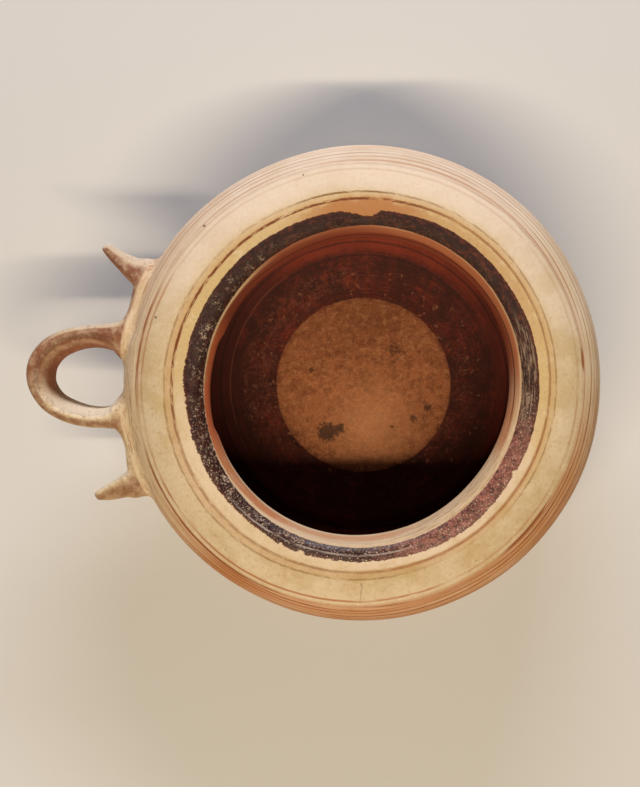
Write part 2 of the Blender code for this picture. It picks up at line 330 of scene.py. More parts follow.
def catmull_rom(a, b, c, d, t):
    """A smooth curve's value between b and c, at t from 0 to 1."""
    return 0.5 * (2 * b + (c - a) * t + (2 * a - 5 * b + 4 * c - d) * t ** 2
                  + (3 * b - a - 3 * c + d) * t ** 3)


def smooth_run(stations):
    """A smooth run of stations through the key ones."""
    ends = [stations[0]] + stations + [stations[-1]]
    run = []
    for i in range(1, len(ends) - 2):
        for step in range(STATIONS_PER_SPAN):
            t = step / STATIONS_PER_SPAN
            run.append(tuple(catmull_rom(*values, t) for values in zip(*ends[i - 1:i + 3])))
    return run + [stations[-1]]


def add_section(form, values, heading, share=1.0):
    """One closed ring of the ribbon, an upright rounded oblong square to its heading."""
    reach, aside, outer, inner, top, height, lean = values
    right = Vector((heading.y, -heading.x, 0.0))
    middle = Vector((reach, aside, top - height / 2))
    paring = UPPER_PARING + (LOWER_PARING - UPPER_PARING) * smooth_step(aside, *PARING_CHANGE)
    ring = bmesh.ops.create_circle(form, segments=STRAP_SIDES, radius=1.0)["verts"]
    for vert in ring:
        across = math.copysign(abs(vert.co.x) ** STRAP_ROUNDNESS, vert.co.x) * share
        up = math.copysign(abs(vert.co.y) ** STRAP_ROUNDNESS, vert.co.y) * share
        pared = inner * (1 - paring * (0.5 + up / 2) * min(lean / STRAP_LEAN, 1))
        vert.co = middle + right * (across * (pared if across > 0 else outer) + lean * (0.5 - up / 2))
        depth = vert.co.xy.length
        if depth < SEAT_DEPTH_RADIUS:
            vert.co.xy *= SEAT_DEPTH_RADIUS / depth
        vert.co.z += up * height / 2
    edges = {edge for vert in ring for edge in vert.link_edges}
    return list(edges)


def strap_ribbon():
    """The handle's ribbon, lofted through its stations and rounded off at the spurs' tips."""
    run = smooth_run(ribbon_stations())
    places = [Vector(values[:2]) for values in run]
    form = bmesh.new()
    rings = []
    for i, values in enumerate(run):
        heading = (places[min(i + 1, len(run) - 1)] - places[max(i - 1, 0)]).normalized()
        rings.append(add_section(form, values, heading))
        if i in (0, len(run) - 1):
            side = -1 if i == 0 else 1
            for out, share in TIP_ROUNDING:
                tip = places[i] + heading * side * values[2] * out
                cap = add_section(form, tuple(tip) + values[2:], heading, share)
                rings.insert(0 if i == 0 else len(rings), cap)
            bmesh.ops.contextual_create(form, geom=cap)
    for ring, following in zip(rings, rings[1:]):
        bmesh.ops.bridge_loops(form, edges=ring + following)
    outwards = Matrix.Scale(-1, 4, (1, 0, 0))
    bmesh.ops.transform(form, matrix=Matrix.Rotation(-HANDLE_TURN, 4, "Z") @ outwards, verts=form.verts)
    bmesh.ops.recalc_face_normals(form, faces=form.faces)
    return form


def as_object(form, name):
    """A finished form as an object in the scene."""
    mesh = bpy.data.meshes.new(name)
    form.to_mesh(mesh)
    obj = bpy.data.objects.new(name, mesh)
    bpy.context.scene.collection.objects.link(obj)
    return obj


def smooth(form, verts):
    """One pass of smoothing over some of a form's verts."""
    bmesh.ops.smooth_vert(form, verts=verts, factor=0.5, use_axis_x=True, use_axis_y=True, use_axis_z=True)


def luted(bowl_form, strap_form):
    """The bowl and its strap as one skin, with a finger-smoothed fillet along the line where they meet."""
    bowl, strap = as_object(bowl_form, "bowl"), as_object(strap_form, "strap")
    join = bowl.modifiers.new("Luting", "BOOLEAN")
    join.operation = "UNION"
    join.object = strap
    joined = bpy.data.meshes.new_from_object(bowl.evaluated_get(bpy.context.evaluated_depsgraph_get()))
    for obj in (bowl, strap):
        bpy.data.objects.remove(obj, do_unlink=True)

    form = bmesh.new()
    form.from_mesh(joined)
    ridge, seam_line, inward = (form.verts.layers.float.new(name) for name in ("ridge", "seam", "inward"))
    bmesh.ops.triangulate(form, faces=[face for face in form.faces if len(face.verts) > 4])
    skins = [BVHTree.FromBMesh(skin) for skin in (bowl_form, strap_form)]
    near = [vert for vert in form.verts
            if vert.co.x < SEAM_FROM and vert.co.xy.length > BODY_RADIUS - 0.012]
    seam = [vert for vert in near if all(skin.find_nearest(vert.co)[3] < SEAM_TOUCH for skin in skins)]
    bmesh.ops.remove_doubles(form, verts=near, dist=SLIVER)
    seam_places = [vert.co.copy() for vert in seam if vert.is_valid]
    seam_tree = kdtree.KDTree(len(seam_places))
    for i, place in enumerate(seam_places):
        seam_tree.insert(place, i)
    seam_tree.balance()
    coarse = [edge for edge in form.edges if edge.calc_length() > COARSE_EDGE
              and all(seam_tree.find(vert.co)[2] < SEAM_REACH * 1.3 for vert in edge.verts)]
    bmesh.ops.subdivide_edges(form, edges=coarse, cuts=1, use_grid_fill=True)
    bmesh.ops.triangulate(form, faces=[face for face in form.faces if len(face.verts) > 4])
    reach = {vert: seam_tree.find(vert.co)[2] for vert in form.verts
             if vert.co.x < FILLET_FROM and vert.co.xy.length > BODY_RADIUS - WALL * 0.5}
    for step in range(SEAM_PASSES):
        within = SEAM_REACH * (1 - 0.75 * step / SEAM_PASSES)
        smooth(form, [vert for vert, far in reach.items() if far < within])
    clear = [vert for vert in form.verts
             if vert.co.x < FILLET_FROM and vert.co.xy.length > BODY_RADIUS + 0.0005]
    for step in range(STRAP_PASSES):
        smooth(form, clear)
    form.normal_update()
    loop_middle = Vector((-BODY_RADIUS - LOOP_REACH * 0.42, LOOP_SWAY))
    for vert, far in reach.items():
        vert[inward] = 0.5 + vert.normal.xy.dot((loop_middle - vert.co.xy).normalized()) / 2
        if vert.co.xy.length > BODY_RADIUS + 0.0002:
            vert[ridge] = smooth_step(vert.normal.z, *RIDGE_LEVEL)
        vert[seam_line] = smooth_step(far, *SEAM_LINE)
    return form


def hand_worked(form):
    """The small unevenness of the real pot: a slightly oval body, an uneven mouth and low throwing ridges."""
    for vert in form.verts:
        radius = vert.co.xy.length
        if radius < ON_AXIS:
            continue
        cos, sin = vert.co.x / radius, vert.co.y / radius
        rim = smooth_step(radius, BODY_RADIUS - RIM_FADE, MOUTH_RADIUS + RIM_FADE)
        rim = rim * smooth_step(vert.co.z, *RIM_HEIGHTS)
        body = smooth_step(radius, *BODY_RADII)
        oval = body * BODY_OVAL + (1 - body) * rim * RIM_OVAL + body * rim * (RIM_OVAL - BODY_OVAL)
        push = oval * 2 * sin * cos + rim * RIM_SHIFT * sin + body * BODY_SHIFT * cos
        push += body * swollen(cos, sin, BODY_SWELLS) + rim * (1 - body) * swollen(cos, sin, RIM_SWELLS)
        if cos < 0:
            pad = smooth_step(abs(vert.co.y), PAD_HALF_WIDTH + PAD_FADE, PAD_HALF_WIDTH)
            pad *= smooth_step(vert.co.z, *PAD_FOOT) * smooth_step(vert.co.z, *PAD_TOP)
            push += PAD * pad * smooth_step(radius, *PAD_RADII)
        path = Vector((cos * RIDGE_SWAY, sin * RIDGE_SWAY, (radius - vert.co.z) * RIDGE_PACE))
        ridge = THROWING_RIDGE * noise.noise(path) * smooth_step(radius, BODY_RADIUS + PAD_FADE, BODY_RADIUS)
        dent = DENT * noise.noise(vert.co * DENT_PACE)
        vert.co.x += cos * push
        vert.co.y += sin * push
        vert.co += vert.normal * (ridge + dent) * smooth_step(vert.co.z, *FOOT_FLAT)


def swollen(cos, sin, swells):
    """How far out all the swells push one side of the pot; each pushes most where it faces."""
    push = 0.0
    for most, degrees, narrowness in swells:
        turn = math.radians(degrees)
        push += most * max(cos * math.cos(turn) + sin * math.sin(turn), 0.0) ** narrowness
    return push


def smooth_step(value, low, high):
    """0 at low, 1 at high and a smooth rise between them; low may be the larger."""
    share = min(max((value - low) / (high - low), 0.0), 1.0)
    return share * share * (3 - 2 * share)


def inside_skin(point):
    """Whether a point of the skin belongs to the painted inside: floor, inner wall and under the rim."""
    radius, height = point.xy.length, point.z
    if height > BELLY_HEIGHT:
        across = (radius - INNER_CREST) / (BODY_RADIUS - WALL / 2 - INNER_CREST)
        up = (height - BELLY_HEIGHT) / (BODY_HEIGHT - WALL / 2 - BELLY_HEIGHT)
        beyond_rim = radius > MOUTH_RADIUS + RIM_THICKNESS / 2 or height < BODY_HEIGHT - RIM_DROP
        return across ** 2 + up ** 2 < 1 and beyond_rim
    across = max(radius - FLOOR_FLAT_RADIUS, 0) / (BODY_RADIUS - WALL / 2 - FLOOR_FLAT_RADIUS)
    up = (height - BELLY_HEIGHT) / (BELLY_HEIGHT - FOOT_RECESS - FLOOR_THICKNESS / 2)
    return across ** 2 + up ** 2 < 1


def swatch(red, green, blue):
    """A colour named as on a screen, 0 to 255, in the linear values that a shader takes."""
    return tuple(((value / 255 + 0.055) / 1.055) ** 2.4 for value in (red, green, blue)) + (1,)


class Flow:
    """A number that varies over the clay; sums written with it become Math nodes."""

    def __init__(self, finish, socket):
        self.finish, self.socket = finish, socket

    def out(self, name):
        """Another output of its node."""
        return Flow(self.finish, self.socket.node.outputs[name])

    def _sum(self, operation, *terms):
        return self.finish.node("ShaderNodeMath", {"operation": operation}, dict(enumerate(terms)))

    def __add__(self, other):
        return self._sum("ADD", self, other)

    __radd__ = __add__

    def __sub__(self, other):
        return self._sum("SUBTRACT", self, other)

    def __rsub__(self, other):
        return self._sum("SUBTRACT", other, self)

    def __mul__(self, other):
        return self._sum("MULTIPLY", self, other)

    def __truediv__(self, other):
        return self._sum("DIVIDE", self, other)

    def __pow__(self, other):
        return self._sum("POWER", self, other)

    def __abs__(self):
        return self._sum("ABSOLUTE", self)

    def max(self, other):
        return self._sum("MAXIMUM", self, other)

    def least(self, other):
        return self._sum("MINIMUM", self, other)

    def cosine(self):
        return self._sum("COSINE", self)


class Finish:
    """One finish of the pot, with the places on it in millimetres from the bowl's axis."""

    def __init__(self, name):
        self.material = bpy.data.materials.new(name)
        self.material.use_nodes = True
        self.tree = self.material.node_tree
        self.shader = self.tree.nodes["Principled BSDF"]
        self.ways = {}
        self.place = self.node("ShaderNodeMapping", {}, {
            "Vector": self.node("ShaderNodeTexCoord").out("Object"),
            "Location": (-AXIS_X * 1000, 0, 0), "Scale": (1000, 1000, 1000)})
        split = self.node("ShaderNodeSeparateXYZ", {}, {"Vector": self.place})
        self.x, self.y, self.z = split.out("X"), split.out("Y"), split.out("Z")
        self.radius = ((self.x * self.x + self.y * self.y) ** 0.5).max(0.5)
        self.cos, self.sin = self.x / self.radius, self.y / self.radius
        self.sin_double = self.sin * self.cos * 2
        self.cos_double = self.cos * self.cos * 2 - 1

    def node(self, kind, settings=None, inputs=None):
        """A new node with its settings made and then its sockets filled or linked."""
        made = self.tree.nodes.new(kind)
        for name, value in (settings or {}).items():
            setattr(made, name, value)
        for name, value in (inputs or {}).items():
            if isinstance(value, Flow):
                self.tree.links.new(value.socket, made.inputs[name])
            else:
                made.inputs[name].default_value = value
        return Flow(self, next(socket for socket in made.outputs if socket.enabled))

    def blend(self, under, over, amount):
        """One colour over another, by an amount from 0 to 1."""
        under, over = (colour if isinstance(colour, Flow) else swatch(*colour) for colour in (under, over))
        return self.node("ShaderNodeMix", {"data_type": "RGBA"}, {0: amount, 6: under, 7: over})

    def ramp(self, value, low, high, start=0.0, end=1.0):
        """Start where the value is at low, end where it is at high, and a smooth change between them."""
        return self.node("ShaderNodeMapRange", {"interpolation_type": "SMOOTHSTEP"},
                         {0: value, 1: low, 2: high, 3: start, 4: end})

    def grain(self, size, detail=2.0, roughness=0.5, offset=0.0):
        """Noise whose patches are about size millimetres across."""
        where = self.place
        if offset:
            where = self.node("ShaderNodeMapping", {}, {"Vector": self.place, "Location": (offset,) * 3})
        return self.node("ShaderNodeTexNoise", {}, {"Vector": where, "Scale": 1 / size, "Detail": detail,
                                                    "Roughness": roughness})

    def drawn(self, length, stretch, detail=2.0, roughness=0.5, offset=0.0):
        """Noise drawn out round the pot, length millimetres long; noises of one stretch share their ways."""
        if stretch not in self.ways:
            way = self.node("ShaderNodeCombineXYZ", {}, {"X": self.cos * MEAN_TURN, "Y": self.sin * MEAN_TURN,
                                                         "Z": self.radius * stretch})
            self.ways[stretch] = way, self.z * stretch
        way, level = self.ways[stretch]
        if offset:
            level = level + offset * length
        return self.node("ShaderNodeTexNoise", {"noise_dimensions": "4D"}, {
            "Vector": way, "W": level, "Scale": 1 / length, "Detail": detail, "Roughness": roughness})

    def specks(self, spacing, size, share, offset):
        """Round specks at random places, about spacing apart; share is how many of the places have one."""
        where = self.node("ShaderNodeMapping", {}, {"Vector": self.place, "Location": (offset,) * 3})
        cells = self.node("ShaderNodeTexVoronoi", {}, {"Vector": where, "Scale": 1 / spacing})
        chosen = self.node("ShaderNodeSeparateColor", {}, {"Color": cells.out("Color")}).out("Red")
        edge = self.ramp(chosen, 1 - share, 1.0, size * 0.4, size) / spacing
        near = self.ramp(cells.out("Distance") - edge, 0.25 * size / spacing, 0.0)
        return near * self.ramp(chosen, 1 - share - 0.001, 1 - share)

    def side(self, degrees, reach, fade):
        """1 within reach degrees of one side of the pot, 0 being +X and 90 +Y, and 0 away from it."""
        angle = math.radians(degrees)
        facing = self.cos * math.cos(angle) + self.sin * math.sin(angle)
        return self.ramp(facing, math.cos(math.radians(min(reach + fade, 180))),
                         math.cos(math.radians(max(reach - fade, 0))))

    def spot(self, x, y, size, fade):
        """A round spot about one place, seen from above."""
        across, up = self.x - x, self.y - y
        return self.ramp((across * across + up * up) ** 0.5, size + fade, size - fade)

    def spots(self, places):
        """The sum of several round spots, each at its own strength."""
        total = None
        for x, y, size, fade, *strength in places:
            mark = self.spot(x, y, size, fade)
            if strength:
                mark = mark * strength[0]
            total = total + mark if total else mark
        return total

    def sides(self, amount, *changes):
        """An amount that changes on some sides, each given by its degrees, reach, fade and change."""
        for degrees, reach, fade, change in changes:
            part = self.side(degrees, reach, fade) * abs(change)
            if not amount:
                amount = part
            else:
                amount = amount + part if change > 0 else amount - part
        return amount

    def near(self, value, middle, half, edge):
        """1 where the value is within half of the middle, fading over edge."""
        return self.ramp(abs(value - middle), half + edge, half)

    def marked(self, name):
        """How much of a mark worked out with the shape lies here, such as the strap's ridge."""
        return self.node("ShaderNodeAttribute", {"attribute_name": name}).out("Fac")

    def finished(self, colour, roughness, height, sheen):
        """The material, with its colour, roughness, relief and sheen. A height of 1 is the full relief."""
        bump = self.node("ShaderNodeBump", {}, {"Height": height, "Distance": SKIN_RELIEF / 1000})
        for name, flow in (("Base Color", colour), ("Roughness", roughness), ("Normal", bump)):
            self.tree.links.new(flow.socket, self.shader.inputs[name])
        self.shader.inputs["Specular IOR Level"].default_value = sheen
        return self.material


class Outside(Finish):
    """The outside's finish, with the measures that all its layers share."""

    def __init__(self):
        super().__init__("cream_slip")
        # 1 on the shoulder and the rim, and 1 on the strap
        self.upper = self.ramp(self.z, 35, 41)
        self.strap = self.ramp(self.radius, 94.0, 95.4)
        # The painted rings aren't quite round: they drift with the pot and sway with the brush
        rim_drift = self.sin * -0.72 + self.sin_double * 0.68
        outer_drift = self.cos * self.ramp(self.radius, 67, 80, 0.55, -0.67)
        outer_drift = outer_drift + self.cos_double * self.ramp(self.radius, 60, 66, -0.45, 0.44)
        self.drift = rim_drift + outer_drift
        self.sway = (self.drawn(34, 0.1, 1.0) - 0.5) * 0.9 + (self.drawn(6, 0.1) - 0.5) * 0.35
        self.ring = self.radius - self.drift + self.sway
        # The mouth isn't quite round either, nor on the bowl's axis
        self.lip = self.radius - self.sin * RIM_SHIFT * 1000 - self.sin_double * RIM_OVAL * 1000


def clouded_slip(pot):
    """Warm cream slip, yellower near the mouth, clouded and speckled. Also gives its fine grain."""
    cloud = pot.grain(22, 5, 0.6)
    fine = pot.grain(1.5, 5, 0.75)
    slip = pot.blend(CREAM, CREAM_DEEP, pot.ramp(cloud, 0.42, 0.66))
    near_mouth = pot.ramp(pot.ring, 77, 71) * pot.upper
    slip = pot.blend(slip, YELLOW_CREAM, near_mouth * pot.sides(0.25, (75, 105, 20, 0.6)))
    slip = pot.blend(slip, TAN, pot.ramp(fine, 0.48, 0.74) * 0.5)
    slip = pot.blend(slip, PALE, pot.ramp(pot.grain(7, 4, 0.7, 17), 0.52, 0.72) * 0.45)
    slip = pot.blend(slip, WARM_TAN, pot.ramp(pot.grain(9, 5, 0.75, 23), 0.54, 0.70) * 0.30)
    # Painted light: the shoulder on the far side, where the cool lamp falls, made paler and pinker
    slip = pot.blend(slip, PALE_PINK, pot.side(95, 62, 28) * pot.ramp(pot.ring, 71, 77) * 0.55)
    beside_band = pot.near(pot.ring, 68.0, 1.4, 1.2) * pot.sides(0, (300, 42, 16, 0.75), (218, 34, 10, 0.45))
    slip = pot.blend(slip, PALE_PINK, beside_band * pot.ramp(pot.grain(5, 4, 0.7, 60), 0.36, 0.56, 0.4))
    return slip, fine


def belly_lines(pot, slip, fine):
    """The belly's wash and its turned lines, each at one level all round. Also gives the skin's relief."""
    level = pot.z + (pot.drawn(70, 0.1, 1.0) - 0.5) * 1.4 + (pot.drawn(220, 40, 2, 0.6, 21) - 0.5) * 2.4
    belly = pot.ramp(pot.ring, 83.4, 86.0).max(1 - pot.upper) * (1 - pot.strap)
    wash = pot.sides(0, (288, 60, 18, 0.80), (155, 20, 12, 0.12), (225, 14, 10, 0.25))
    # Paler belly at two sides; at the handle's side this is painted light, against the shadow the strap casts
    # there
    slip = pot.blend(slip, PALE, belly * pot.sides(0, (20, 30, 15, 0.45), (180, 26, 12, 0.45)))
    slip = pot.blend(slip, ORANGE, belly * wash * pot.ramp(pot.drawn(30, 20, 4, 0.6), 0.28, 0.60, 0.35, 1.0))
    coarse = pot.ramp((level * (math.tau / LINE_PITCH)).cosine(), 0.10, 0.95)
    close = pot.ramp((level * (math.tau / FINE_PITCH)).cosine(), 0.0, 0.9)
    kept = pot.ramp(pot.drawn(60, 40, 3, 0.65), 0.36, 0.58, 0.06, 1.0)
    combed = (coarse * kept + close * pot.ramp(pot.drawn(80, 40, 3, 0.6, 9), 0.44, 0.58) * 0.7).least(1.0)
    strength = pot.sides(0.46, (292, 66, 20, 0.50), (140, 22, 12, 0.20), (28, 40, 16, 0.25))
    strength = strength * pot.sides(1, (184, 20, 8, -0.5)) * pot.ramp(pot.z, 16, 38, 0.12, 1.0)
    rusty = pot.side(292, 64, 20) * pot.ramp(pot.drawn(30, 20, 3), 0.36, 0.56)
    line_colour = pot.blend(LINE_ORANGE, DARK_RUST, rusty)
    lined = combed * pot.ramp(pot.ring, 85.1, 85.7).max(1 - pot.upper) * (1 - pot.strap)
    slip = pot.blend(slip, line_colour, lined * strength)
    skin = fine * 0.5 + pot.grain(5, 3) * 0.8 - combed * belly * 0.08
    return slip, skin


def body_edge_lines(pot, slip):
    """The two thin lines that part the shoulder from the belly, each kept on some sides only."""
    lower_line = pot.near(pot.ring, LOWER_LINE, 0.28, 0.30) * pot.upper
    slip = pot.blend(slip, LINE_ORANGE, lower_line * pot.ramp(pot.drawn(16, 12, 3), 0.30, 0.52) * pot.sides(
        0.20, (247, 46, 8, 0.62), (165, 16, 8, 0.4), (330, 30, 14, 0.2)))
    glow = pot.near(pot.ring, UPPER_LINE - 0.3, 0.4, 0.7) * pot.upper * pot.side(171, 15, 6)
    slip = pot.blend(slip, ORANGE, glow * 0.35)
    upper_line = pot.near(pot.ring, UPPER_LINE, 0.34, 0.32) * pot.upper
    return pot.blend(slip, RUST, upper_line * pot.ramp(pot.drawn(12, 12, 3), 0.30, 0.50) * pot.sides(
        0.20, (170, 13, 5, 0.65), (223, 24, 6, 0.75), (320, 8, 4, 0.85), (6, 2, 2, 0.6), (30, 30, 10, 0.2)))


def shoulder_lines(pot, slip):
    """The shoulder's double line, thin and broken, on an orange stain. Also gives the lines' wander."""
    ring, upper = pot.ring, pot.upper
    broken = pot.ramp(pot.drawn(5.5, 5, 4, 0.7), 0.36, 0.52)
    between = pot.near(ring, 72.4, 0.8, 0.9) * upper
    slip = pot.blend(slip, ORANGE, between * pot.sides(0.16, (180, 30, 12, 0.08)))
    slip = pot.blend(slip, LINE_ORANGE, pot.near(ring, INNER_LINE, 0.3, 0.7) * upper * pot.sides(
        0.15, (312, 34, 12, 0.4), (55, 25, 12, 0.2)))
    stain_edge = ring + (pot.grain(5, 4, 0.7, 33) - 0.5) * 6 - pot.side(88, 8, 8) * 1.2
    slip = pot.blend(slip, TAN_ORANGE, pot.ramp(stain_edge, 71.6, 68.4) * upper * pot.sides(
        0, (88, 14, 12, 0.55), (66, 46, 16, 0.38)))
    wander = (pot.drawn(2, 0.1, 3) - 0.5) * 0.5
    inner_line = pot.near(ring + wander, INNER_LINE, 0.34, 0.30) * broken * upper
    slip = pot.blend(slip, LINE_BROWN, inner_line * pot.sides(0.50, (130, 60, 12, 0.5), (300, 30, 15, -0.15)))
    outer_line = pot.near(ring + wander, OUTER_LINE, 0.22, 0.32) * broken * upper
    strength = pot.sides(0.60, (95, 12, 6, 0.4), (304, 14, 12, -0.5), (130, 18, 10, -0.25))
    return pot.blend(slip, OLIVE_BROWN, outer_line * strength), wander


def lip_face(pot):
    """The lip's face, told by height: pinker and browner on the far side as painted shade, an orange stripe
    on the near side.
    """
    height = pot.z + (pot.drawn(30, 0.1, 2) - 0.5) * 1.6
    cloud = pot.ramp(pot.drawn(9, 12, 5, 0.75), 0.42, 0.60)
    colour = pot.blend(LIP_CREAM, OLIVE_TAN, cloud * pot.sides(0.25, (312, 32, 14, 0.40)))
    far_side = pot.side(84, 88, 16)
    # Painted shade: the far side's lip face made pinker and browner, most of all lower down, for the shade it
    # lies in
    colour = pot.blend(colour, LIP_SHADED_PINK, far_side * pot.ramp(height, 60.9, 59.6, 0.75, 1.0))
    colour = pot.blend(colour, LIP_SHADED_BROWN, pot.side(128, 42, 22) * pot.ramp(height, 60.2, 58.0, 0.45, 0.85))
    colour = pot.blend(colour, LIP_CREAM, pot.near(height, 61.4, 0.6, 0.7) * pot.side(25, 48, 16) * 0.6)
    red_foot = pot.ramp(height, 57.6, 56.6) * pot.side(86, 80, 14)
    colour = pot.blend(colour, LIP_RED, red_foot * pot.sides(0.50, (60, 45, 20, 0.3)))
    wide_stripe = (pot.ramp(height, 58.6, 57.6) * pot.side(184, 22, 12)
                   + pot.near(height, 54.9, 2.6, 0.8) * pot.side(216, 20, 10) * 0.9)
    thin_stripe = pot.near(height, 55.0, 1.6, 1.2) * pot.side(258, 28, 12) * 0.60
    end_stripe = pot.ramp(height, 59.2, 58.4) * pot.side(345, 9, 7) * 0.8
    stripe = wide_stripe + thin_stripe + end_stripe
    stripe = stripe * pot.ramp(pot.drawn(7, 5, 4, 0.7), 0.30, 0.50, 0.5, 1.0)
    stripe_colour = pot.blend(LIP_ORANGE, LIP_STRIPE, pot.side(176, 24, 12))
    colour = pot.blend(colour, stripe_colour, stripe.least(1.0))
    pale_top = pot.ramp(height, 57.8, 58.8) * pot.side(192, 58, 14)
    patchy = pot.ramp(pot.drawn(12, 5, 3, 0.6, 3), 0.28, 0.48, 0.55)
    colour = pot.blend(colour, LIP_CREAM, pale_top * patchy * 0.85)
    far_line_height = pot.side(95, 45, 30) * -2.4 + 57.6
    far_line = pot.near(height - far_line_height, 0.0, 0.22, 0.35) * pot.side(62, 78, 15)
    return pot.blend(colour, DARK_RED, far_line * 0.8)


def dark_band(pot, body, wander):
    """The worn dark band over the crest. Also gives where it lies, its roughness and its wear."""
    ring, sway = pot.ring, pot.sway
    ragged = (pot.drawn(1.8, 0.6, 5, 0.8) - 0.5) * pot.sides(1.5, (245, 78, 14, 1.6))
    ragged = ragged + (pot.drawn(14, 0.1, 2) - 0.5) * 1.0
    torn = pot.x + (pot.grain(2.5, 4, 0.7, 90) - 0.5) * 6
    notch = pot.ramp(torn, -9, 4) * pot.ramp(torn, 9, 4.5) * pot.ramp(pot.y, 50, 55) * 2.8
    notch = pot.sides(notch, (212, 26, 10, 1.0), (25, 20, 10, 0.4), (303, 14, 10, -0.7))
    outer_edge = pot.ramp(ring - sway * 0.5 + ragged + notch, BAND_OUTSIDE, BAND_OUTSIDE - 0.25)
    inward = pot.sides(0, (310, 106, 24, 0.65), (122, 25, 15, -0.5))
    inner_edge = pot.ramp(pot.radius - pot.drift + ragged * 0.3 - inward, BAND_INSIDE, BAND_INSIDE + 0.3)
    chip_shape = (pot.grain(1.0, 5, 0.85, 31) - 0.5) * 2.2
    chips = pot.spots(BAND_CHIPS)
    band = outer_edge * inner_edge * pot.upper
    band = band * pot.ramp(chips + chip_shape * chips.least(0.8), 0.66, 0.46)
    inner_half = pot.ramp(ring, 65.9, 62.2, 0.12, 1.0)
    flake_places = pot.ramp(pot.grain(7, 4, 0.65), 0.40, 0.56)
    flakes = pot.ramp(pot.grain(1.2, 3, 0.7), 0.53, 0.61) * flake_places * inner_half
    flakes = flakes * pot.sides(0.18, (222, 84, 20, 0.82))
    # Painted highlight: pale streaks along the turning, over the crest on the +X side
    highlight_streaks = pot.ramp(pot.drawn(6, 12, 3, 0.7), 0.46, 0.58)
    highlight_streaks = highlight_streaks * pot.near(ring, 63.2, 2.0, 1.0) * pot.side(4, 15, 9)
    clusters = pot.ramp(pot.grain(4.5, 3, 0.6, 70), 0.54, 0.62)
    clusters = clusters * pot.ramp(pot.grain(0.8, 3, 0.7, 71), 0.50, 0.58)
    clusters = (clusters * inner_half * pot.side(192, 60, 16)).least(1.0)
    plum_side = pot.side(314, 30, 14) * pot.ramp(pot.grain(4, 4, 0.7), 0.30, 0.58, 0.3, 1.0)
    paint = pot.blend(DARK_PAINT, PLUM, plum_side)
    fringe = pot.ramp(ring + ragged + notch, 65.4, 66.7) * pot.sides(0.40, (66, 48, 20, 0.6))
    paint = pot.blend(paint, RED_BROWN, fringe)
    paint = pot.blend(paint, BROWN_BLACK, pot.side(86, 62, 24) * 0.75)
    brushed = pot.ramp(pot.drawn(4, 3, 5, 0.75, 40), 0.48, 0.64) * pot.sides(0.32, (68, 48, 20, 0.45))
    paint = pot.blend(paint, RED_BROWN, brushed)
    paint = pot.blend(paint, BLACK_BROWN, pot.ramp(pot.grain(1.6, 5, 0.8, 50), 0.46, 0.60) * 0.7)
    paint = pot.blend(paint, FLAKE, (flakes * 0.75 + highlight_streaks * 0.75).least(1.0))
    crumbs = clusters * 0.85
    crumbs = crumbs + pot.ramp(pot.grain(0.7, 3, 0.7, 80), 0.58, 0.66) * pot.side(275, 80, 20) * 0.90
    paint = pot.blend(paint, PALE_FLAKE, crumbs.least(1.0))
    glint = pot.near(ring + wander, 64.3, 0.16, 0.40) * pot.side(256, 30, 9)
    glint = glint * pot.ramp(pot.drawn(8, 5, 3), 0.34, 0.52)
    paint = pot.blend(paint, GLINT, glint * 0.6)
    body = pot.blend(body, paint, band)
    # Roughness and wear are worked out here, so that the finish holds few values at any one time
    dull_paint = pot.ramp(pot.grain(3, 3), 0.35, 0.65, 0.16, 0.0) - pot.side(90, 75, 20) * 0.30 + 0.34
    roughness = 0.80 - band * dull_paint * (1 - flakes) * (1 - clusters)
    worn = (flakes * 0.3 + clusters * 0.3 + 0.05) * band
    return body, band, roughness, worn


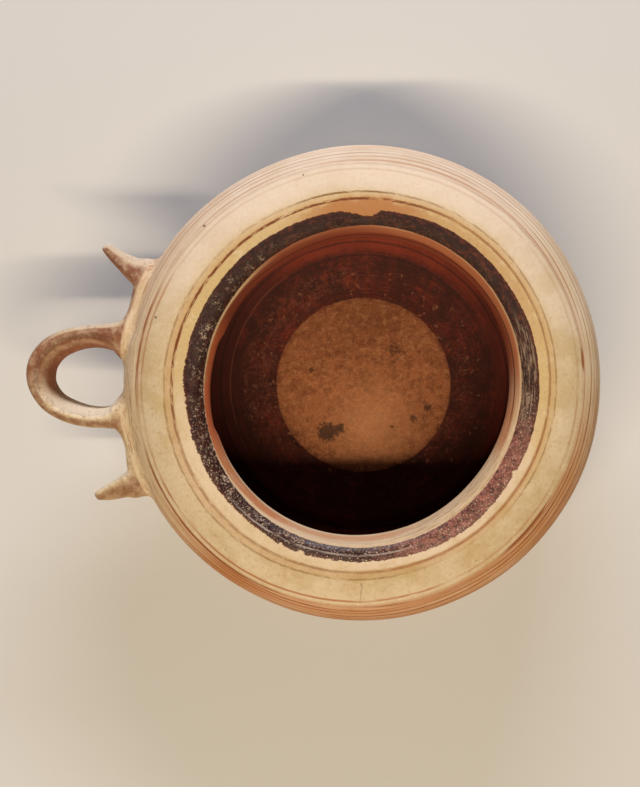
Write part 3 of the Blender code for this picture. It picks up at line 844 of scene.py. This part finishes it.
def strap_washes(pot, body):
    """The strap's thin reddish wash, its inner face, paler on the lower leg as painted light, and the brown
    smears where it is pressed on.
    """
    strap = pot.strap
    ridge, seam, inward = pot.marked("ridge"), pot.marked("seam"), pot.marked("inward")
    upper_leg = pot.ramp(pot.y, -6, 6)
    rubbed = pot.ramp(pot.grain(4, 5, 0.7, 3), 0.36, 0.60, 0.62, 1.0)
    # A little paler all over; the lower leg's inner face much paler, as painted light against the shadow the
    # upper leg casts on it
    body = pot.blend(body, PALE, strap * (0.15 + (1 - upper_leg) * pot.ramp(inward, 0.55, 0.75) * 0.6))
    inner_face = pot.ramp(inward, 0.68, 0.82) * pot.ramp(pot.y, -10, 0)
    body = pot.blend(body, INNER_TAN, strap * inner_face * pot.ramp(pot.z, 46, 42, 0.30, 0.90))
    washed = (upper_leg * pot.ramp(inward, 0.30, 0.46, 0.30, 1.0)).max(
        pot.ramp(pot.radius, 118, 126) * pot.ramp(inward, 0.66, 0.52))
    washed = washed.max((1 - upper_leg) * pot.ramp(inward, 0.62, 0.40))
    wash_colour = pot.blend(PINK_WASH, UMBER_WASH, upper_leg)
    body = pot.blend(body, wash_colour, strap * washed * ridge.max(0.8) * rubbed * 0.92)
    lower_ridge = strap * ridge * (1 - upper_leg)
    body = pot.blend(body, PINK_WASH, lower_ridge * pot.ramp(pot.grain(2.4, 5, 0.75, 9), 0.46, 0.60) * 0.4)
    shaded = pot.near(inward, 0.68, 0.07, 0.10) * pot.ramp(pot.y, -10, 2) * pot.ramp(pot.radius, 96, 102)
    shaded = strap * ridge * shaded
    body = pot.blend(body, UMBER, shaded * pot.ramp(pot.grain(3, 4, 0.7, 6), 0.30, 0.54, 0.3) * 0.55)
    body = pot.blend(body, UMBER, strap * pot.ramp(pot.grain(2.0, 5, 0.75, 12), 0.55, 0.68) * 0.42)
    body = pot.blend(body, PALE, strap * pot.ramp(pot.grain(2.0, 5, 0.75, 13), 0.56, 0.68) * 0.25)
    body = pot.blend(body, WARM_TAN, seam * pot.ramp(pot.grain(5, 4, 0.7, 8), 0.42, 0.60) * 0.5)
    pressed = pot.side(181, 27, 7) * pot.ramp(pot.radius, 86, 90) * (1 - strap)
    smears = pot.ramp(pot.drawn(9, 12, 4, 0.7, 5), 0.50, 0.62) * pressed
    body = pot.blend(body, SMEAR_BROWN, smears * pot.sides(0.55, (200, 12, 6, 0.3)))
    stained = pot.ramp(pot.grain(1.1, 4, 0.8, 4), 0.58, 0.68) * pot.ramp(pot.grain(6, 2, 0.5, 2), 0.40, 0.60)
    return pot.blend(body, UMBER, stained * pot.ramp(pot.radius, 86, 93) * pot.side(180, 36, 8) * 0.7)


def pits_and_chips(pot, body, band):
    """Small dark pits and chips in the slip, and one fine crack, all of them clear of the band."""
    pits = pot.specks(2.2, 0.26, 0.16, 11) * pot.side(182, 28, 14) * 0.7 + pot.specks(8, 0.30, 0.25, 3) * 0.5
    chips = pot.spots(SLIP_CHIPS)
    crack = pot.near(pot.x + (pot.grain(5, 3, 0.6) - 0.5) * 3, 0.6, 0.05, 0.28)
    crack = crack * pot.near(pot.y, -79.5, 3.5, 1.5)
    return pot.blend(body, DARK_RED, (pits + chips + crack * 0.4) * (1 - band))


def outside_finish():
    """Cream slip with turned lines, the lip's stripes and painted shade, a worn dark band round the mouth and
    a washed strap.
    """
    pot = Outside()
    slip, fine = clouded_slip(pot)
    slip, skin = belly_lines(pot, slip, fine)
    slip = body_edge_lines(pot, slip)
    slip, wander = shoulder_lines(pot, slip)
    body = pot.blend(lip_face(pot), slip, pot.ramp(pot.lip, 61.6, 62.4).max(1 - pot.upper))
    body, band, roughness, worn = dark_band(pot, body, wander)
    body = strap_washes(pot, body)
    body = pits_and_chips(pot, body, band)
    return pot.finished(body, roughness, skin - worn, SLIP_SHEEN)


def bare_disc(pot, ring, mottle):
    """The bare disc on the floor: sandy clay, darker than the outside's partly as painted shade, darker again
    towards +Y as painted shade, with fine dark pits, a pale middle and a few stains.
    """
    # Painted shade in part: the disc's clay is darker and oranger than the outside's, for the dim warm light
    # inside the bowl
    disc = pot.blend(DISC_CLAY_IN_SHADE, DISC_DARK, pot.ramp(mottle, 0.46, 0.62) * 0.50)
    shadowed = pot.ramp(pot.y, -8, 30) * 0.42 + pot.ramp(pot.grain(5, 4, 0.7, 21), 0.48, 0.62) * 0.22
    disc = pot.blend(disc, DISC_DARK, shadowed)
    disc = pot.blend(disc, DISC_DARK, pot.ramp(pot.grain(0.9, 3, 0.8, 3), 0.48, 0.62) * 0.45)
    disc = pot.blend(disc, DISC_PALE, pot.spot(3, -16, 11, 16) * pot.ramp(mottle, 0.3, 0.6, 0.30, 0.60))
    disc = pot.blend(disc, DISC_PALE, pot.ramp(pot.grain(2.2, 5, 0.8, 12), 0.50, 0.64) * 0.35)
    disc = pot.blend(disc, DISC_DARK, pot.spots(DISC_SHADES))
    pitted = pot.spots(DISC_PITTED)
    pits = pot.ramp(pot.grain(1.5, 4, 0.75, 5), 0.56, 0.64)
    disc = pot.blend(disc, BLACK_BROWN, pits * (pitted * 0.5 + 0.16))
    blotted = pot.spots(DISC_BLOTS)
    blots = pot.ramp(blotted + (pot.grain(1.3, 5, 0.8, 6) - 0.5) * 2.6, 0.36, 0.70)
    disc = pot.blend(disc, BLACK_BROWN, blots * pot.ramp(blotted, 0.05, 0.35) * 0.70)
    stained = pot.spots(DISC_STAINS)
    stains = pot.ramp(stained + (pot.grain(1.8, 5, 0.8, 14) - 0.5) * 2.4, 0.24, 0.60)
    disc = pot.blend(disc, STAIN, stains * pot.ramp(stained, 0.02, 0.3) * 0.80)
    return pot.blend(disc, DISC_DARK, pot.ramp(ring, 33.0, 35.4) * pot.ramp(mottle, 0.4, 0.6, 0.3, 1.0) * 0.5)


def painted_wall(pot, ring, clouds, mottle, fine, turned):
    """The painted wall: plain and redder near the mouth, on the far side partly as painted light, with a ring
    of painted shade under the rim's edge, scuffed and sooty round the disc.
    """
    wall = pot.blend(DEEP_RED, BRICK_RED, pot.ramp(turned, 0.46, 0.64) * 0.35)
    # Partly painted light: the brick red ring near the mouth is strongest on the far side, where the lamp
    # falls on the wall
    wall = pot.blend(wall, BRICK_RED, pot.ramp(ring, 53.4, 56.4) * pot.sides(0.08, (92, 36, 28, 0.60)))
    wall = pot.blend(wall, DEEP_BROWN, pot.ramp(clouds, 0.42, 0.60) * pot.ramp(ring, 54, 52, 0.2, 0.6))
    inner = pot.ramp(ring, 57.5, 51.5)
    wall = pot.blend(wall, DEEP_BROWN, pot.side(176, 44, 25) * pot.ramp(ring, 42, 48) * 0.60)
    red_patch = pot.ramp(pot.grain(6, 4, 0.7, 30), 0.46, 0.64) * pot.side(130, 45, 20) * inner
    wall = pot.blend(wall, BRICK_RED, red_patch * 0.35)
    wall = pot.blend(wall, SOOT, pot.ramp(mottle, 0.40, 0.60) * inner * 0.60)
    scuffs = pot.ramp(fine, 0.48, 0.62) * pot.ramp(pot.grain(6, 4, 0.65, 7), 0.40, 0.58) * inner
    wall = pot.blend(wall, GREY_FLECK, scuffs * (0.20 + pot.ramp(ring, 48, 40) * pot.sides(
        0.25, (345, 45, 20, 0.35), (180, 20, 15, 0.25), (68, 45, 20, -0.30))))
    wall = pot.blend(wall, SOOT, pot.ramp(pot.grain(0.9, 4, 0.8, 44), 0.48, 0.58) * inner * 0.5)
    scraps = pot.ramp(pot.grain(2.6, 3, 0.65, 15), 0.62, 0.70) * pot.ramp(ring, 52, 46)
    wall = pot.blend(wall, CLAY_SCRAP, scraps * 0.50)
    rubbed = pot.side(150, 60, 25) * pot.near(ring, 44, 3.5, 4)
    rubbed = rubbed * pot.ramp(pot.grain(2.0, 5, 0.8, 19), 0.46, 0.60)
    wall = pot.blend(wall, GREY_FLECK, rubbed * 0.38)
    light_ring = pot.near(ring, 54.4, 0.12, 0.28) * pot.side(165, 42, 15) * pot.ramp(turned, 0.4, 0.55)
    wall = pot.blend(wall, GREY_FLECK, light_ring * 0.45)
    # Painted shade: the dark ring at 58.4 mm, just inside the mouth under the rim's edge; the ring at 53.1 mm
    # on the far side is a dark line
    dark_rings = pot.near(ring, 53.1, 0.15, 0.40) * pot.side(90, 50, 20) + pot.near(ring, 58.4, 0.2, 0.4)
    return pot.blend(wall, BLACK_BROWN, dark_rings * 0.5)


def inside_finish():
    """Dark red paint, worn grey round a reserved disc of bare clay in the middle of the floor."""
    pot = Finish("red_inside")
    across, up = pot.x + 0.2, pot.y + 1.1
    ring = (across * across + up * up) ** 0.5 + (pot.drawn(7, 0.1, 4, 0.65) - 0.5) * 0.9
    clouds = pot.grain(15, 4, 0.6)
    mottle = pot.grain(3.4, 5, 0.7)
    fine = pot.grain(1.1, 4, 0.8)
    disc = bare_disc(pot, ring, mottle)
    turned = pot.drawn(26, 20, 4, 0.6)
    wall = painted_wall(pot, ring, clouds, mottle, fine, turned)
    colour = pot.blend(disc, wall, pot.ramp(ring + (fine - 0.5) * 0.9, DISC_EDGE, DISC_EDGE + 0.7))
    roughness = pot.ramp(fine, 0.3, 0.7, 0.50, 0.72)
    return pot.finished(colour, roughness, fine * 0.4 + turned * 0.8 + mottle * 0.3, PAINT_SHEEN)


bowl_form, strap_form = turned_bowl(), strap_ribbon()
vessel_form = luted(bowl_form, strap_form)
for face in vessel_form.faces:
    face.smooth = True
    face.material_index = 1 if inside_skin(face.calc_center_median()) else 0
vessel_form.normal_update()
hand_worked(vessel_form)
bmesh.ops.translate(vessel_form, vec=(AXIS_X, 0, 0), verts=vessel_form.verts)
vessel = as_object(vessel_form, "clay_vessel")
vessel.data.materials.append(outside_finish())
vessel.data.materials.append(inside_finish())

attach(vessel, "root")
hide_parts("vessel")


def add_camera(place, target, view_height):
    """A camera that looks from place to target, with +Y up in the picture and a view_height in degrees."""
    forward = (target - place).normalized()
    right = forward.cross(Vector((0, 1, 0))).normalized()
    up = right.cross(forward)
    data = bpy.data.cameras.new("photo_camera")
    data.sensor_fit = "VERTICAL"
    data.angle_y = math.radians(view_height)
    camera = bpy.data.objects.new("photo_camera", data)
    camera.matrix_world = Matrix.Translation(place) @ Matrix((right, up, -forward)).transposed().to_4x4()
    bpy.context.scene.collection.objects.link(camera)
    bpy.context.scene.camera = camera


def add_light(name, azimuth, elevation, distance, size, power, colour):
    """A soft rectangular light aimed at the bowl. Azimuth 90 is towards +Y, the top of the picture."""
    data = bpy.data.lights.new(name, "AREA")
    data.shape = "RECTANGLE"
    data.size, data.size_y = size
    data.energy = power
    data.color = colour
    light = bpy.data.objects.new(name, data)
    a, e = math.radians(azimuth), math.radians(elevation)
    direction = Vector((math.cos(a) * math.cos(e), math.sin(a) * math.cos(e), math.sin(e)))
    right = Vector((-math.sin(a), math.cos(a), 0))
    up = direction.cross(right)
    light.matrix_world = (Matrix.Translation(LIT_PLACE + direction * distance)
                          @ Matrix((right, up, direction)).transposed().to_4x4())
    bpy.context.scene.collection.objects.link(light)


add_camera(CAMERA_PLACE, CAMERA_TARGET, CAMERA_VIEW_HEIGHT)
add_light("cool_key", 90, 18.5, 1.3, (0.9, 0.12), 18, (0.97, 0.98, 1.10))
add_light("warm_strip", -90, 57.3, 1.3, (1.6, 0.06), 20, (1.0, 0.85, 0.65))
add_light("overhead", -90, 84, 1.5, (0.10, 0.10), 0.6, (1.0, 0.93, 0.84))

world = bpy.data.worlds.new("studio")
world.use_nodes = True
sky = world.node_tree.nodes["Background"]
sky.inputs["Color"].default_value = SKY_COLOUR
sky.inputs["Strength"].default_value = SKY_STRENGTH
bpy.context.scene.world = world

floor_form = bmesh.new()
bmesh.ops.create_grid(floor_form, x_segments=1, y_segments=1, size=FLOOR_HALF_WIDTH)
floor = as_object(floor_form, "floor")
pale = bpy.data.materials.new("pale_floor")
pale.use_nodes = True
pale_shader = pale.node_tree.nodes["Principled BSDF"]
pale_shader.inputs["Base Color"].default_value = FLOOR_COLOUR
pale_shader.inputs["Roughness"].default_value = FLOOR_ROUGHNESS
floor.data.materials.append(pale)

bpy.context.scene.view_settings.view_transform = "Standard"
